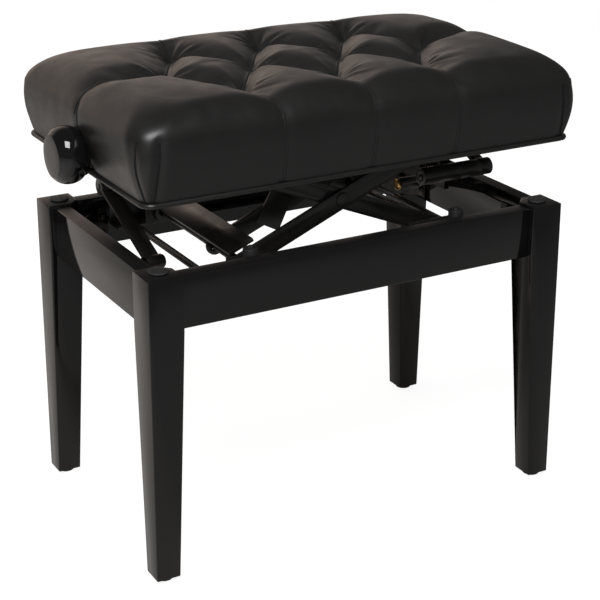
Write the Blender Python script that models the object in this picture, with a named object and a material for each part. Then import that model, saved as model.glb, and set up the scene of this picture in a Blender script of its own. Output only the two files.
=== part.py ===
"""Adjustable piano bench: a four-legged lacquered frame, a steel scissor lift turned by a
threaded spindle, and an upholstered seat with a tufted leather cover.

Metres, +Z up. X runs along the length of the seat, +Y towards the back, and the origin is on
the floor below the middle of the seat. The seat stands a little above the middle of its travel.
"""

import math

import bmesh
import bpy
from mathutils import Matrix, Vector

# ---- driving dimensions -------------------------------------------------------------------
GAP = 0.0003                    # air left between pieces that touch

FRAME_LENGTH = 0.550            # over the outer faces of the legs
FRAME_WIDTH = 0.333
LEG_TOP_Z = 0.368
LEG_TOP_SIDE = 0.042
LEG_FOOT_SIDE = 0.029
LEG_CHAMFER = 0.013             # inner corner, only as high as the aprons
GLIDE_HEIGHT = 0.004
APRON_HEIGHT = 0.062
APRON_THICKNESS = 0.020
APRON_SETBACK = 0.008           # behind the outer faces of the legs
APRON_DROP = 0.003              # below the tops of the legs
BUFFER_HEIGHT = 0.003

SEAT_LENGTH = 0.558
SEAT_WIDTH = 0.345
SEAT_UNDERSIDE_Z = 0.449
SEAT_TOP_Z = 0.556
RIM_HEIGHT = 0.040
RIM_THICKNESS = 0.015
BATTEN_HEIGHT = 0.018
BOARD_THICKNESS = 0.012
COVER_THICKNESS = 0.003
PIPING_RADIUS = 0.003

ARM_LENGTH = 0.286              # between the end pivots of a scissor arm
ARM_ANGLE = math.radians(22.4)  # above the horizontal, as drawn
ARM_WIDTH = 0.023
ARM_THICKNESS = 0.004
LOWER_PIVOT_Z = 0.345
SHAFT_RADIUS = 0.005
BORE_CLEARANCE = 0.0004
GUIDE_Y = 0.1095                # inner face of the guide plates, from the middle
GUIDE_THICKNESS = 0.003
YOKE_NEAR, YOKE_FAR = 0.025, 0.016      # the fork's outer faces, either side of the nut
FORK_START = 0.190              # along the inner arm
SPRING_LUG = ((-0.058, 0.402), (-0.030, 0.392), (-0.050, 0.350), (-0.080, 0.366))

SPINDLE_Y = -0.015
SPINDLE_Z = 0.474
SPINDLE_RADIUS = 0.007
KNOB_RADIUS = 0.033
KNOB_LENGTH = 0.036

KNEE_X = (0.166, 0.228)         # the stretch that a stabiliser knee fills
LOWER_LEAF_X = {"left": (0.2085, 0.228), "right": (0.1825, 0.2115)}
KNUCKLE_START = {"left": 0.166, "right": 0.128}
KNEE_HINGE_Y = 0.077            # how far its knuckle stands from the middle
KNEE_BARREL = 0.0105
KNEE_PIN = 0.004
KNEE_PLATE = 0.004

# ---- places worked out from them ----------------------------------------------------------
HALF_L, HALF_W = FRAME_LENGTH / 2, FRAME_WIDTH / 2
APRON_TOP_Z = LEG_TOP_Z - APRON_DROP
APRON_BOTTOM_Z = APRON_TOP_Z - APRON_HEIGHT
APRON_INNER_X = HALF_L - APRON_SETBACK - APRON_THICKNESS
APRON_INNER_Y = HALF_W - APRON_SETBACK - APRON_THICKNESS
RUN = ARM_LENGTH * math.cos(ARM_ANGLE)
RISE = ARM_LENGTH * math.sin(ARM_ANGLE)
PIVOT_X = RUN / 2
UPPER_PIVOT_Z = LOWER_PIVOT_Z + RISE
CENTRE_Z = LOWER_PIVOT_Z + RISE / 2
ARM_A_Y = GUIDE_Y - 0.0025      # outer face of arm A, then arm C inside it
ARM_C_Y = ARM_A_Y - ARM_THICKNESS - 0.0010
RAIL_FLOOR_Z = 0.329
RIM_TOP_Z = SEAT_UNDERSIDE_Z + RIM_HEIGHT
BOARD_TOP_Z = RIM_TOP_Z + GAP + BOARD_THICKNESS
RIM_X = SEAT_LENGTH / 2 - 0.0085
RIM_Y = SEAT_WIDTH / 2 - 0.0085
KNEE_RUN = RUN / 2
KNEE_FOOT_Y = KNEE_HINGE_Y - KNEE_RUN

for old in list(bpy.data.objects):
    bpy.data.objects.remove(old)


# ---- materials ----------------------------------------------------------------------------
def make_material(name, colour, roughness, metallic=0.0):
    material = bpy.data.materials.new(name)
    material.use_nodes = True
    shader = material.node_tree.nodes["Principled BSDF"]
    shader.inputs["Base Color"].default_value = (*colour, 1.0)
    shader.inputs["Roughness"].default_value = roughness
    shader.inputs["Metallic"].default_value = metallic
    return material


LACQUER = make_material("black_lacquer", (0.006, 0.005, 0.005), 0.08)
PAINT = make_material("black_steel_paint", (0.012, 0.012, 0.013), 0.30)
STEEL = make_material("zinc_steel", (0.10, 0.10, 0.098), 0.35, 1.0)
BRASS = make_material("brass", (0.70, 0.48, 0.22), 0.30, 1.0)
RUBBER = make_material("rubber", (0.020, 0.020, 0.021), 0.75)
PLASTIC = make_material("knob_plastic", (0.006, 0.006, 0.007), 0.06)
PLYWOOD = make_material("plywood", (0.50, 0.36, 0.20), 0.70)
FOAM = make_material("foam", (0.75, 0.70, 0.50), 0.95)
LEATHER = make_material("black_leather", (0.016, 0.015, 0.015), 0.40)


# ---- building blocks ----------------------------------------------------------------------
def add_object(name, mesh_data, material, parent=None):
    bmesh.ops.recalc_face_normals(mesh_data, faces=mesh_data.faces)
    mesh = bpy.data.meshes.new(name)
    mesh_data.to_mesh(mesh)
    mesh_data.free()
    mesh.materials.append(material)
    thing = bpy.data.objects.new(name, mesh)
    bpy.context.scene.collection.objects.link(thing)
    if parent:
        thing.parent = parent
        thing.matrix_parent_inverse = Matrix.Translation(-parent.location)
    return thing


def add_axis(name, place):
    """An empty on a joint's axis. The pieces that turn there are its children."""
    empty = bpy.data.objects.new(name, None)
    empty.location = place
    bpy.context.scene.collection.objects.link(empty)
    return empty


def round_edges(thing, width, segments=2):
    bevel = thing.modifiers.new("rounded edges", "BEVEL")
    bevel.width = width
    bevel.segments = segments
    bevel.limit_method = "ANGLE"
    bevel.angle_limit = math.radians(40)
    return thing


def box(name, low, high, material, parent=None):
    shape = bmesh.new()
    bmesh.ops.create_cube(shape, size=1.0)
    centre = (Vector(low) + Vector(high)) / 2
    size = Vector(high) - Vector(low)
    for vertex in shape.verts:
        vertex.co = Vector(c * s for c, s in zip(vertex.co, size)) + centre
    return add_object(name, shape, material, parent)


def prism(name, outline, start, end, axis, material, parent=None):
    """Extrudes a flat outline along X, Y or Z. The outline's two numbers are the other two
    coordinates, in X, Y, Z order."""
    spots = {"x": lambda a, b, t: (t, a, b),
             "y": lambda a, b, t: (a, t, b),
             "z": lambda a, b, t: (a, b, t)}[axis]
    shape = bmesh.new()
    ends = [[shape.verts.new(spots(a, b, t)) for a, b in outline] for t in (start, end)]
    for ring in ends:
        shape.faces.new(ring)
    for i in range(len(outline)):
        j = (i + 1) % len(outline)
        shape.faces.new((ends[0][i], ends[0][j], ends[1][j], ends[1][i]))
    return add_object(name, shape, material, parent)


def cylinder(name, start, end, radius, material, parent=None, sides=20):
    start, end = Vector(start), Vector(end)
    shape = bmesh.new()
    turn = (end - start).to_track_quat("Z", "Y").to_matrix().to_4x4()
    bmesh.ops.create_cone(
        shape, cap_ends=True, segments=sides, radius1=radius, radius2=radius,
        depth=(end - start).length, matrix=Matrix.Translation((start + end) / 2) @ turn)
    thing = add_object(name, shape, material, parent)
    thing.data.shade_smooth()
    thing.data.set_sharp_from_angle(angle=math.radians(40))
    return thing


def combine(thing, tool, operation):
    """Cuts the tool out of a piece, or joins it on. The tool itself is only a guide."""
    tool.hide_render = True
    tool.display_type = "WIRE"
    step = thing.modifiers.new(tool.name, "BOOLEAN")
    step.operation = operation
    step.object = tool
    return thing


def bore(thing, start, end, radius, sides=16):
    tool = cylinder(thing.name + "_bore", start, end, radius, STEEL, sides=sides)
    return combine(thing, tool, "DIFFERENCE")


def arc(centre, radius, start, end, steps):
    """Points on an arc, both angles in degrees."""
    angles = [math.radians(start + (end - start) * i / steps) for i in range(steps + 1)]
    return [(centre[0] + radius * math.cos(a), centre[1] + radius * math.sin(a)) for a in angles]


def bar_outline(start, end, radius):
    """A flat bar with round ends, from one pivot to another."""
    heading = math.degrees(math.atan2(end[1] - start[1], end[0] - start[0]))
    return (arc(start, radius, heading + 90, heading + 270, 8)
            + arc(end, radius, heading - 90, heading + 90, 8))


def along_arm(origin, angle, distance, offset):
    """A point in the X-Z plane, a distance along an arm and an offset square to it."""
    return (origin[0] + distance * math.cos(angle) - offset * math.sin(angle),
            origin[1] + distance * math.sin(angle) + offset * math.cos(angle))


SIDES = (("front", -1), ("back", 1))
ENDS = (("left", -1), ("right", 1))


# ---- wooden frame -------------------------------------------------------------------------
def build_leg(name, sx, sy):
    """Square above the bottom of the apron, then tapered on its two inner faces."""
    shape = bmesh.new()
    rings = []
    for z, side in ((GLIDE_HEIGHT + GAP, LEG_FOOT_SIDE),
                    (APRON_BOTTOM_Z, LEG_TOP_SIDE), (LEG_TOP_Z, LEG_TOP_SIDE)):
        xs = (sx * HALF_L, sx * (HALF_L - side))
        ys = (sy * HALF_W, sy * (HALF_W - side))
        corners = ((xs[0], ys[0]), (xs[1], ys[0]), (xs[1], ys[1]), (xs[0], ys[1]))
        rings.append([shape.verts.new((x, y, z)) for x, y in corners])
    shape.faces.new(rings[0])
    shape.faces.new(rings[-1])
    for below, above in zip(rings, rings[1:]):
        for i in range(4):
            j = (i + 1) % 4
            shape.faces.new((below[i], below[j], above[j], above[i]))
    leg = add_object(name, shape, LACQUER)
    inner = (sx * (HALF_L - LEG_TOP_SIDE), sy * (HALF_W - LEG_TOP_SIDE))
    corner = [(inner[0] - sx * 0.002, inner[1] - sy * 0.002),
              (inner[0] + sx * LEG_CHAMFER, inner[1] - sy * 0.002),
              (inner[0] + sx * LEG_CHAMFER, inner[1]),
              (inner[0], inner[1] + sy * LEG_CHAMFER),
              (inner[0] - sx * 0.002, inner[1] + sy * LEG_CHAMFER)]
    cut = prism(name + "_chamfer", corner, APRON_BOTTOM_Z, LEG_TOP_Z + 0.01, "z", LACQUER)
    combine(leg, cut, "DIFFERENCE")
    return round_edges(leg, 0.0012)


def build_corner_bracket(name, sx, sy):
    """A bent steel plate across the corner, screwed to both aprons and bolted to the leg."""
    thick, flange, reach = 0.0025, 0.014, 0.0385
    x, y = APRON_INNER_X - GAP, APRON_INNER_Y - GAP
    outer = [(x, y - reach - flange), (x, y - reach), (x - reach, y), (x - reach - flange, y)]
    slant = thick * math.tan(math.radians(22.5))
    inner = [(x - reach - flange, y - thick), (x - reach - slant, y - thick),
             (x - thick, y - reach - slant), (x - thick, y - reach - flange)]
    outline = [(sx * a, sy * b) for a, b in outer + inner]
    bracket = prism(name, outline, APRON_BOTTOM_Z + 0.005, 0.352, "z", STEEL)
    return bracket


def build_frame():
    foot = LEG_FOOT_SIDE / 2
    for yname, sy in SIDES:
        for xname, sx in ENDS:
            place = f"{yname}_{xname}"
            build_leg(f"leg_{place}", sx, sy)
            build_corner_bracket(f"corner_bracket_{place}", sx, sy)
            under = (sx * (HALF_L - foot), sy * (HALF_W - foot))
            glide = cylinder(f"foot_glide_{place}", (*under, 0), (*under, GLIDE_HEIGHT),
                             0.011, RUBBER)
            round_edges(glide, 0.0012, 1)
            over = (sx * (HALF_L - LEG_TOP_SIDE / 2 - 0.001), sy * (HALF_W - LEG_TOP_SIDE / 2))
            buffer = cylinder(f"leg_buffer_{place}", (*over, LEG_TOP_Z + GAP),
                              (*over, LEG_TOP_Z + BUFFER_HEIGHT), 0.0115, RUBBER, sides=24)
            round_edges(buffer, 0.0008, 1)
    reach = HALF_L - LEG_TOP_SIDE - GAP
    for name, sy in SIDES:
        low, high = sorted((sy * APRON_INNER_Y, sy * (HALF_W - APRON_SETBACK)))
        apron = box(f"apron_{name}", (-reach, low, APRON_BOTTOM_Z),
                    (reach, high, APRON_TOP_Z), LACQUER)
        round_edges(apron, 0.0012)
    reach = HALF_W - LEG_TOP_SIDE - GAP
    for name, sx in ENDS:
        low, high = sorted((sx * APRON_INNER_X, sx * (HALF_L - APRON_SETBACK)))
        apron = box(f"apron_{name}", (low, -reach, APRON_BOTTOM_Z),
                    (high, reach, APRON_TOP_Z), LACQUER)
        round_edges(apron, 0.0012)


# ---- fixed steel of the lift --------------------------------------------------------------
POST_X = (-0.131, 0.147)
POST_Y = 0.126
SLOT_HALF = SHAFT_RADIUS + BORE_CLEARANCE
LOWEST, HIGHEST = math.radians(6.8), math.radians(32.8)


def slot_outline(z):
    """The path of a sliding shaft between the lowest and highest seat, with a little to spare."""
    near = ARM_LENGTH * math.cos(HIGHEST) - PIVOT_X - 0.002
    far = ARM_LENGTH * math.cos(LOWEST) - PIVOT_X + 0.002
    return arc((near, z), SLOT_HALF, 90, 270, 6) + arc((far, z), SLOT_HALF, 270, 450, 6)


def build_lower_rail(name, sy):
    """A steel angle screwed to the apron. One ear holds the fixed pivot, a slotted one guides
    the sliding shaft."""
    wall_out, wall_in = APRON_INNER_Y - GAP, APRON_INNER_Y - GAP - 0.0025
    shelf_in = GUIDE_Y
    profile = [(wall_out, RAIL_FLOOR_Z), (wall_out, 0.361), (wall_in, 0.361),
               (wall_in, RAIL_FLOOR_Z + 0.003), (shelf_in, RAIL_FLOOR_Z + 0.003),
               (shelf_in, RAIL_FLOOR_Z)]
    rail = prism(name, [(sy * y, z) for y, z in profile], -0.192, 0.192, "x", PAINT)
    low, high = sorted((sy * GUIDE_Y, sy * (GUIDE_Y + GUIDE_THICKNESS)))
    pivot_ear = box(name + "_pivot_ear", (-PIVOT_X - 0.022, low, RAIL_FLOOR_Z),
                    (-PIVOT_X + 0.022, high, LOWER_PIVOT_Z + 0.012), PAINT)
    slot_ear = box(name + "_slot_ear", (0.090, low, RAIL_FLOOR_Z),
                   (0.1638, high, LOWER_PIVOT_Z + 0.012), PAINT)
    for ear in (pivot_ear, slot_ear):
        combine(rail, ear, "UNION")
    bore(rail, (-PIVOT_X, low - 0.002, LOWER_PIVOT_Z), (-PIVOT_X, high + 0.002, LOWER_PIVOT_Z),
         SHAFT_RADIUS + BORE_CLEARANCE)
    slot = prism(name + "_slot", slot_outline(LOWER_PIVOT_Z), low - 0.002, high + 0.002, "y",
                 PAINT)
    return combine(rail, slot, "DIFFERENCE")


def build_fixed_steel():
    for name, sy in SIDES:
        build_lower_rail(f"lower_rail_{name}", sy)
        for (end, _), x in zip(ENDS, POST_X):
            cylinder(f"stop_post_{name}_{end}", (x, sy * POST_Y, RAIL_FLOOR_Z + 0.003 + GAP),
                     (x, sy * POST_Y, 0.3725), 0.009, RUBBER)
    reach = GUIDE_Y + GUIDE_THICKNESS + 0.002
    cylinder("lower_pivot_shaft", (-PIVOT_X, -reach, LOWER_PIVOT_Z),
             (-PIVOT_X, reach, LOWER_PIVOT_Z), SHAFT_RADIUS, STEEL)
    plates = (("cross_plate_right", 0.165, 0.175), ("cross_tie_left", -0.177, -0.167))
    for name, low, high in plates:
        floor = RAIL_FLOOR_Z + 0.003 + GAP
        box(name, (low, -0.130, floor), (high, 0.130, floor + 0.0030), PAINT)
    for name, sx in ENDS:
        foot_y = -sx * KNEE_FOOT_Y
        wall = sx * (APRON_INNER_X - GAP)
        tip = LOWER_LEAF_X[name][0] - 0.0015
        build_hinge_stud(f"knee_foot_stud_{name}", wall, sx, foot_y, LOWER_PIVOT_Z,
                         (LOWER_PIVOT_Z - 0.012, LOWER_PIVOT_Z + 0.012), tip)


def build_hinge_stud(name, wall, sx, y, z, plate_z, tip, parent=None):
    """A pin welded to a small plate, which is screwed to a wooden wall."""
    stud = cylinder(name, (wall - sx * 0.0015, y, z), (sx * tip, y, z), KNEE_PIN, STEEL,
                    parent, sides=16)
    low, high = sorted((wall, wall - sx * 0.003))
    plate = box(name + "_plate", (low, y - 0.016, plate_z[0]), (high, y + 0.016, plate_z[1]),
                STEEL)
    return combine(stud, plate, "UNION")


# ---- scissor arms -------------------------------------------------------------------------
FOOT_A, HEAD_A = (-PIVOT_X, LOWER_PIVOT_Z), (PIVOT_X, UPPER_PIVOT_Z)
FOOT_C, HEAD_C = (PIVOT_X, LOWER_PIVOT_Z), (-PIVOT_X, UPPER_PIVOT_Z)
CENTRE = (0.0, CENTRE_Z)


def build_arm(name, foot, head, y_range, parent, holes):
    arm = prism(name, bar_outline(foot, head, ARM_WIDTH / 2), *y_range, "y", PAINT, parent)
    low, high = sorted(y_range)
    for x, z in holes:
        bore(arm, (x, low - 0.002, z), (x, high + 0.002, z), SHAFT_RADIUS + BORE_CLEARANCE)
    return arm


def build_arms(axis_a, axis_c):
    for name, sy in SIDES:
        outer = sy * ARM_A_Y
        arm = build_arm(f"arm_a_{name}", FOOT_A, HEAD_A, (outer, outer - sy * ARM_THICKNESS),
                        axis_a, (FOOT_A, HEAD_A))
        head = cylinder(arm.name + "_rivet_head", (0, outer + sy * 0.0022, CENTRE_Z),
                        (0, outer - sy * 0.001, CENTRE_Z), 0.0085, STEEL)
        pin = cylinder(arm.name + "_rivet", (0, outer - sy * 0.0005, CENTRE_Z),
                       (0, outer - sy * (2 * ARM_THICKNESS + 0.003), CENTRE_Z),
                       SHAFT_RADIUS, STEEL, sides=16)
        combine(arm, head, "UNION")
        combine(arm, pin, "UNION")
        outer = sy * ARM_C_Y
        build_arm(f"arm_c_{name}", FOOT_C, HEAD_C, (outer, outer - sy * ARM_THICKNESS),
                  axis_c, (FOOT_C, CENTRE, HEAD_C))


def build_yoke(parent):
    """A folded plate ties the feet of both A arms and carries the inner arm, whose fork holds
    the nut. A lug hangs from the inner arm for the counter spring."""
    floor, roof = ARM_WIDTH / 2 - 0.001, ARM_WIDTH / 2 + 0.003
    corners = ((-0.007, floor), (0.027, floor), (0.027, roof), (-0.007, roof))
    outline = [along_arm(FOOT_A, ARM_ANGLE, s, h) for s, h in corners]
    reach = ARM_C_Y - ARM_THICKNESS - 0.001
    yoke = prism("lift_yoke", outline, -reach, reach, "y", PAINT, parent)
    half = ARM_WIDTH / 2
    near = (SPINDLE_Y - YOKE_NEAR, SPINDLE_Y - YOKE_NEAR + ARM_THICKNESS)
    far = (SPINDLE_Y + YOKE_FAR - ARM_THICKNESS, SPINDLE_Y + YOKE_FAR)
    fork = along_arm(FOOT_A, ARM_ANGLE, FORK_START, 0)
    inner = prism("yoke_inner_arm", bar_outline(FOOT_A, HEAD_A, half), *near, "y", PAINT)
    tine = prism("yoke_tine", bar_outline(fork, HEAD_A, half), *far, "y", PAINT)
    corners = ((-0.006, -0.006), (0.006, -0.006), (0.006, -0.002), (-0.006, -0.002))
    outline = [along_arm(fork, ARM_ANGLE, s, h) for s, h in corners]
    bridge = prism("yoke_bridge", outline, near[1] - 0.001, far[0] + 0.001, "y", PAINT)
    lug = prism("spring_lug", SPRING_LUG, near[0] - 0.003, near[0] + 0.001, "y", PAINT)
    for tool in (inner, tine, bridge, lug):
        combine(yoke, tool, "UNION")
    for x, z in (FOOT_A, HEAD_A):
        bore(yoke, (x, -0.06, z), (x, 0.04, z), SHAFT_RADIUS + BORE_CLEARANCE)
    return yoke


def build_shafts(axis_a, axis_c, seat_axis):
    inside = GUIDE_Y + GUIDE_THICKNESS - 0.0002
    outside = GUIDE_Y + GUIDE_THICKNESS + 0.002
    for name, (x, z), reach, parent in (("upper_slide_shaft", HEAD_A, inside, axis_a),
                                        ("lower_slide_shaft", FOOT_C, outside, axis_c),
                                        ("upper_pivot_shaft", HEAD_C, inside, seat_axis)):
        cylinder(name, (x, -reach, z), (x, reach, z), SHAFT_RADIUS, STEEL, parent)


# ---- stabiliser knees ---------------------------------------------------------------------
def build_knee(name, sx, lower_axis, upper_axis):
    """Two hinged leaves as long as half an arm, so that they fold as the scissor does."""
    foot = (-sx * KNEE_FOOT_Y, LOWER_PIVOT_Z)
    knuckle = (-sx * KNEE_HINGE_Y, CENTRE_Z)
    head = (-sx * KNEE_FOOT_Y, UPPER_PIVOT_Z)
    near, far = KNEE_X
    start = KNUCKLE_START[name]

    def leaf_plate(label, start, end, x_range, material=PAINT, parent=None):
        return prism(label, bar_outline(start, end, KNEE_PLATE / 2),
                     sx * x_range[0], sx * x_range[1], "x", material, parent)

    def barrel(label, centre, x_range, radius):
        return cylinder(label, (sx * x_range[0], *centre), (sx * x_range[1], *centre), radius,
                        PAINT)

    middle = LOWER_LEAF_X[name]
    lower = leaf_plate(f"knee_lower_leaf_{name}", foot, knuckle, middle, parent=lower_axis)
    combine(lower, barrel(f"lower_knuckle_{name}", knuckle, middle, KNEE_BARREL), "UNION")
    combine(lower, barrel(f"lower_foot_{name}", foot, middle, KNEE_BARREL - 0.002), "UNION")

    whole = (near, far)
    upper = leaf_plate(f"knee_upper_leaf_{name}", knuckle, head, whole, parent=upper_axis)
    combine(upper, barrel(f"upper_knuckle_{name}", knuckle, (start, far), KNEE_BARREL), "UNION")
    combine(upper, barrel(f"upper_head_{name}", head, whole, KNEE_BARREL - 0.002), "UNION")
    window_end = [k + 0.72 * (h - k) for k, h in zip(knuckle, head)]
    window = prism(f"upper_window_{name}", bar_outline(knuckle, window_end, KNEE_BARREL + 0.002),
                   sx * (middle[0] - GAP), sx * (middle[1] + GAP), "x", PAINT)
    combine(upper, window, "DIFFERENCE")

    for leaf, centre in ((lower, foot), (upper, knuckle), (upper, head)):
        bore(leaf, (sx * (start - 0.002), *centre), (sx * (far + 0.002), *centre),
             KNEE_PIN + BORE_CLEARANCE, sides=16)
    pin = cylinder(f"knee_pin_{name}", (sx * (start - 0.001), *knuckle),
                   (sx * (far + 0.001), *knuckle), KNEE_PIN, STEEL, sides=16)
    combine(lower, pin, "UNION")


# ---- seat ---------------------------------------------------------------------------------
def build_seat_box(seat_axis):
    batten_y = GUIDE_Y + GUIDE_THICKNESS + GAP
    batten_top = SEAT_UNDERSIDE_Z + BATTEN_HEIGHT
    profile = [(RIM_Y, SEAT_UNDERSIDE_Z), (RIM_Y, RIM_TOP_Z), (RIM_Y - RIM_THICKNESS, RIM_TOP_Z),
               (RIM_Y - RIM_THICKNESS, batten_top), (batten_y, batten_top),
               (batten_y, SEAT_UNDERSIDE_Z)]
    for name, sy in SIDES:
        prism(f"seat_rim_{name}", [(sy * y, z) for y, z in profile], -RIM_X, RIM_X, "x",
              PLYWOOD, seat_axis)
        low, high = sorted((sy * GUIDE_Y, sy * (GUIDE_Y + GUIDE_THICKNESS)))
        rail = box(f"upper_rail_{name}", (-0.160, low, UPPER_PIVOT_Z - 0.0115),
                   (0.172, high, batten_top - 0.001), PAINT, seat_axis)
        bore(rail, (-PIVOT_X, low - 0.002, UPPER_PIVOT_Z),
             (-PIVOT_X, high + 0.002, UPPER_PIVOT_Z), SHAFT_RADIUS + BORE_CLEARANCE)
        slot = prism(rail.name + "_slot", slot_outline(UPPER_PIVOT_Z), low - 0.002,
                     high + 0.002, "y", PAINT)
        combine(rail, slot, "DIFFERENCE")
    reach = batten_y - GAP
    for name, sx in ENDS:
        low, high = sorted((sx * (RIM_X - RIM_THICKNESS), sx * RIM_X))
        rim = box(f"seat_rim_{name}", (low, -reach, SEAT_UNDERSIDE_Z), (high, reach, RIM_TOP_Z),
                  PLYWOOD, seat_axis)
        bore(rim, (low - 0.002, SPINDLE_Y, SPINDLE_Z), (high + 0.002, SPINDLE_Y, SPINDLE_Z),
             SPINDLE_RADIUS + BORE_CLEARANCE, sides=20)
        build_hinge_stud(f"knee_seat_stud_{name}", sx * (RIM_X - RIM_THICKNESS - GAP), sx,
                         -sx * KNEE_FOOT_Y, UPPER_PIVOT_Z,
                         (SEAT_UNDERSIDE_Z + 0.0005, SEAT_UNDERSIDE_Z + 0.026),
                         KNEE_X[0] + 0.001, seat_axis)
    box("seat_board", (-RIM_X, -RIM_Y, RIM_TOP_Z + GAP), (RIM_X, RIM_Y, BOARD_TOP_Z), PLYWOOD,
        seat_axis)
    foam = box("seat_foam", (-RIM_X + 0.012, -RIM_Y + 0.012, BOARD_TOP_Z + GAP),
               (RIM_X - 0.012, RIM_Y - 0.012, SEAT_TOP_Z - 0.036), FOAM, seat_axis)
    round_edges(foam, 0.006)


BACK_TUFTS = [(-0.121, 0.094), (-0.001, 0.096), (0.124, 0.099)]
MIDDLE_TUFTS = [(-0.172, 0.003), (-0.060, 0.004), (0.060, 0.004), (0.175, 0.003)]
FRONT_TUFTS = [(-0.120, -0.089), (0.002, -0.087), (0.118, -0.085)]
FRONT_SEAMS = (-0.112, 0.002, 0.113)
PLEAT_DEPTH, TUFT_DEPTH = 0.0155, 0.0115        # the second is added at a tuft
EDGE_PLEAT_DEPTH = 0.0125
PLEAT_REACH = 0.054             # from a pleat up to the crown of its pillow
EDGE_RADIUS = 0.022
CORNER_RADIUS = 0.012
COVER_BULGE = 0.004
CROWN = 0.004

PLEATS = []
for row in (BACK_TUFTS, FRONT_TUFTS):
    for i, tuft in enumerate(row):
        PLEATS += [(tuft, MIDDLE_TUFTS[i]), (tuft, MIDDLE_TUFTS[i + 1])]
EDGE_PLEATS = ([(tuft, (tuft[0] + 0.015, 0.185)) for tuft in BACK_TUFTS]
               + [(tuft, (x, -0.185)) for tuft, x in zip(FRONT_TUFTS, FRONT_SEAMS)]
               + [(MIDDLE_TUFTS[0], (-0.290, -0.008)), (MIDDLE_TUFTS[-1], (0.290, 0.030))])


def to_pleat(x, y, pleat):
    """How far a point lies from a pleat, and how far along it, from 0 to 1."""
    (x0, y0), (x1, y1) = pleat
    dx, dy = x1 - x0, y1 - y0
    t = max(0.0, min(1.0, ((x - x0) * dx + (y - y0) * dy) / (dx * dx + dy * dy)))
    return math.hypot(x - x0 - t * dx, y - y0 - t * dy), t


def pleat_sink(x, y):
    """How far the cover is drawn down: deepest at a tuft, then along the pleats that join the
    tufts, and shallower along those that run out to the edges."""
    nearest = min(math.hypot(x - a, y - b) for a, b in BACK_TUFTS + MIDDLE_TUFTS + FRONT_TUFTS)
    pull = TUFT_DEPTH * math.exp(-(nearest / 0.026) ** 1.5)
    sink = 0.0
    for pleat in PLEATS:
        away, t = to_pleat(x, y, pleat)
        sink = max(sink, (PLEAT_DEPTH + pull) * max(0.0, 1 - away / PLEAT_REACH) ** 2.0)
    for pleat in EDGE_PLEATS:
        away, t = to_pleat(x, y, pleat)
        reach = PLEAT_REACH - 0.022 * t
        depth = EDGE_PLEAT_DEPTH * (1 - 0.72 * t) + pull
        sink = max(sink, depth * max(0.0, 1 - away / reach) ** 2.0)
    return sink


def grid_lines(edge, last_tuft, between, beyond):
    """Lines from -1 to 1 across the crown: even from tuft to tuft, then out to the edge."""
    inner = [last_tuft * i / between for i in range(-between, between + 1)]
    outer = [last_tuft + (edge - last_tuft) * (i + 1) / beyond for i in range(beyond)]
    return [x / edge for x in [-x for x in reversed(outer)] + inner + outer]


def build_cover(parent):
    """The leather shell: straight skirt, bulging walls, a soft shoulder and a tufted crown."""
    half = (SEAT_LENGTH / 2 - 0.0025, SEAT_WIDTH / 2 - 0.0025)
    foot = SEAT_UNDERSIDE_Z + 2 * PIPING_RADIUS + GAP
    shape = bmesh.new()
    wall_steps, shoulder_steps = 3, 4
    across = grid_lines(half[0] - EDGE_RADIUS, 0.180, 12, 4)
    along = grid_lines(half[1] - EDGE_RADIUS, 0.092, 4, 3)
    columns, rows = len(across) - 1, len(along) - 1
    shoulder_z = SEAT_TOP_Z - EDGE_RADIUS

    def place(u, v, layer):
        """u and v run from -1 to 1 over the plan. The layers count up from the hem."""
        if layer <= wall_steps:
            height = foot + (shoulder_z - foot) * layer / wall_steps
            inset, radius = 0.0, CORNER_RADIUS
        else:
            turn = (layer - wall_steps) / shoulder_steps * math.pi / 2
            height = shoulder_z + EDGE_RADIUS * math.sin(turn)
            inset = EDGE_RADIUS * (1 - math.cos(turn))
            radius = CORNER_RADIUS + inset * 0.4
        inset -= COVER_BULGE * math.sin(math.pi * (height - foot) / (SEAT_TOP_Z - foot))
        reach = Vector((half[0] - inset, half[1] - inset))
        spot = Vector((u * reach.x, v * reach.y))
        core = Vector((max(radius - reach.x, min(reach.x - radius, spot.x)),
                       max(radius - reach.y, min(reach.y - radius, spot.y))))
        away = spot - core
        if away.length > radius:
            spot = core + away.normalized() * radius
        if layer > wall_steps:
            climb = ((layer - wall_steps) / shoulder_steps) ** 2
            height -= climb * CROWN * ((spot.x / half[0]) ** 2 + (spot.y / half[1]) ** 2)
            height -= climb * pleat_sink(spot.x, spot.y)
        return Vector((*spot, height))

    rim = ([(u, -1.0) for u in across[:-1]] + [(1.0, v) for v in along[:-1]]
           + [(u, 1.0) for u in across[:0:-1]] + [(-1.0, v) for v in along[:0:-1]])
    last = wall_steps + shoulder_steps
    walls = [[shape.verts.new(place(u, v, k)) for u, v in rim] for k in range(last + 1)]
    for lower, upper in zip(walls, walls[1:]):
        for i in range(len(rim)):
            j = (i + 1) % len(rim)
            shape.faces.new((lower[i], lower[j], upper[j], upper[i]))
    top = {}
    for (u, v), vertex in zip(rim, walls[-1]):
        top[round(u, 6), round(v, 6)] = vertex
    grid = [[top.get((round(u, 6), round(v, 6))) or shape.verts.new(place(u, v, last))
             for v in along] for u in across]
    for i in range(columns):
        for j in range(rows):
            shape.faces.new((grid[i][j], grid[i + 1][j], grid[i + 1][j + 1], grid[i][j + 1]))
    cover = add_object("seat_cover", shape, LEATHER, parent)
    cover.data.shade_smooth()
    shell = cover.modifiers.new("leather thickness", "SOLIDIFY")
    shell.thickness = COVER_THICKNESS
    shell.offset = -1.0
    low, high = -SEAT_LENGTH / 2 - 0.01, SEAT_LENGTH / 2 + 0.01
    return bore(cover, (low, SPINDLE_Y, SPINDLE_Z), (high, SPINDLE_Y, SPINDLE_Z), 0.009)


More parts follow.
